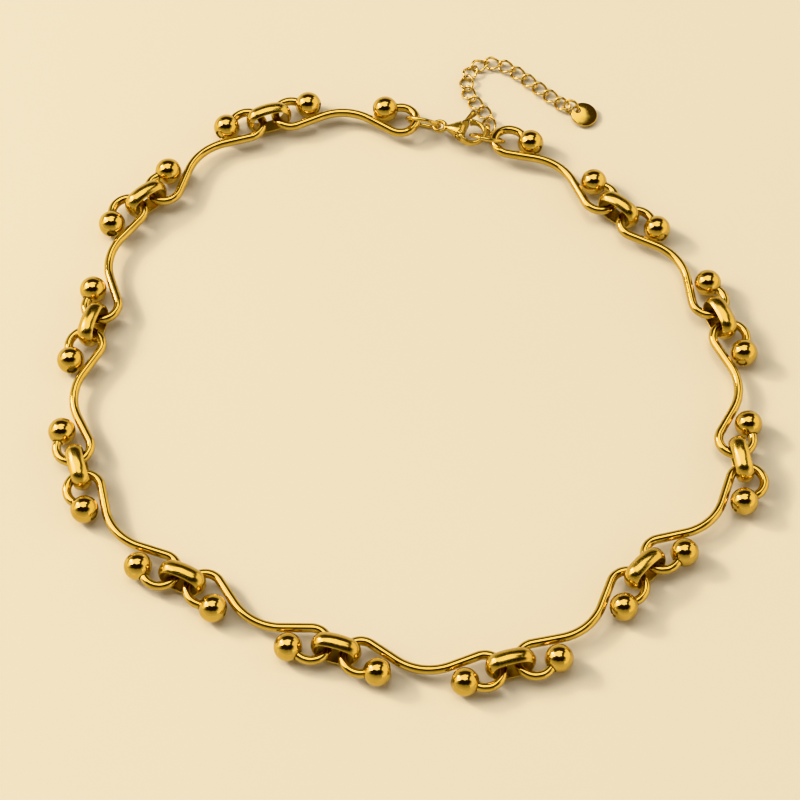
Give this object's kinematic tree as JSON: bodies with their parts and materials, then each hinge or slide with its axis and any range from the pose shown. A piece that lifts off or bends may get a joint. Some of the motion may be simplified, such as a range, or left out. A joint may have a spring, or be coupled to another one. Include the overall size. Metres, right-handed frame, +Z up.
{
  "type": "chunky chain necklace",
  "caption": "Chunky gold necklace of wave-shaped wire links with ball ends, joined by oval band links, with a lobster clasp, a small curb extension chain and a round tag.",
  "frame": {"origin": "middle of the necklace's loop, on the surface that it lies on", "axes": "+Z up from the surface, +Y towards the clasp, +X to the right with the clasp at the top"},
  "size_m": [0.1339, 0.1425, 0.0068],
  "materials": {
    "wave_gold": "polished gold plating",
    "band_gold": "polished gold plating",
    "clasp_gold": "polished gold plating",
    "ring_gold": "polished gold plating",
    "curb_gold": "polished gold plating",
    "tag_gold": "polished gold plating"
  },
  "bodies": {
    "necklace": {"wave_link_01": "wave_gold", "wave_link_02": "wave_gold", "wave_link_03": "wave_gold", "wave_link_04": "wave_gold", "wave_link_05": "wave_gold", "wave_link_06": "wave_gold", "wave_link_07": "wave_gold", "wave_link_08": "wave_gold", "wave_link_09": "wave_gold", "wave_link_10": "wave_gold", "wave_link_11": "wave_gold", "wave_link_12": "wave_gold", "connector_01": "band_gold", "connector_02": "band_gold", "connector_03": "band_gold", "connector_04": "band_gold", "connector_05": "band_gold", "connector_06": "band_gold", "connector_07": "band_gold", "connector_08": "band_gold", "connector_09": "band_gold", "connector_10": "band_gold", "connector_11": "band_gold", "clasp_ring": "ring_gold", "clasp_body": "clasp_gold", "lever_pin": "clasp_gold", "end_ring": "ring_gold", "extension_chain": "curb_gold", "tag_ring": "ring_gold", "end_tag": "tag_gold"},
    "lever": {"clasp_lever": "clasp_gold"}
  },
  "joints": [
    {"name": "lever_hinge", "type": "hinge", "parent": "necklace", "child": "lever", "pos_m": [0.01214, 0.05786, 0.0026], "axis": [0, 0, 1], "range_deg": [0, 24], "stiffness_Nm_per_rad": 0.0005, "springref_deg": -17.19}
  ]
}
